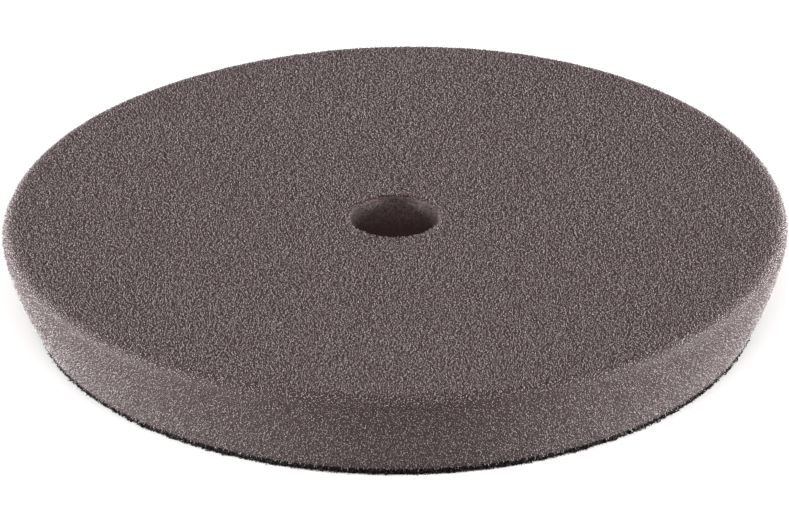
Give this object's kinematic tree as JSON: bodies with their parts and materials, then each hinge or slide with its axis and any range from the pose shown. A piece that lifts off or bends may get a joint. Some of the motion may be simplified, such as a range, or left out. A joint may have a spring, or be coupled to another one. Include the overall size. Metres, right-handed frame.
{
  "type": "polishing pad",
  "caption": "Round open-cell foam polishing pad with a rounded rim, a tapered side, a plain centre hole and a hook-and-loop back, for machine polishing of car paint.",
  "frame": {"origin": "centre of the underside of the loop pile, the face that a backing plate grips", "axes": "+Z along the pad's axis, from the hook-and-loop back towards the working face"},
  "size_m": [0.165, 0.165, 0.0208],
  "materials": {
    "foam": "open-cell polyurethane foam, matte, cut face",
    "hot_melt": "smoke-tinted hot-melt film, satin",
    "knit": "warp-knitted polyamide ground, black",
    "pile": "brushed polyamide loops, black, slight sheen"
  },
  "bodies": {
    "root": {"foam_disc": "foam", "adhesive_film": "hot_melt", "loop_ground": "knit", "loop_pile": "pile"}
  },
  "joints": []
}
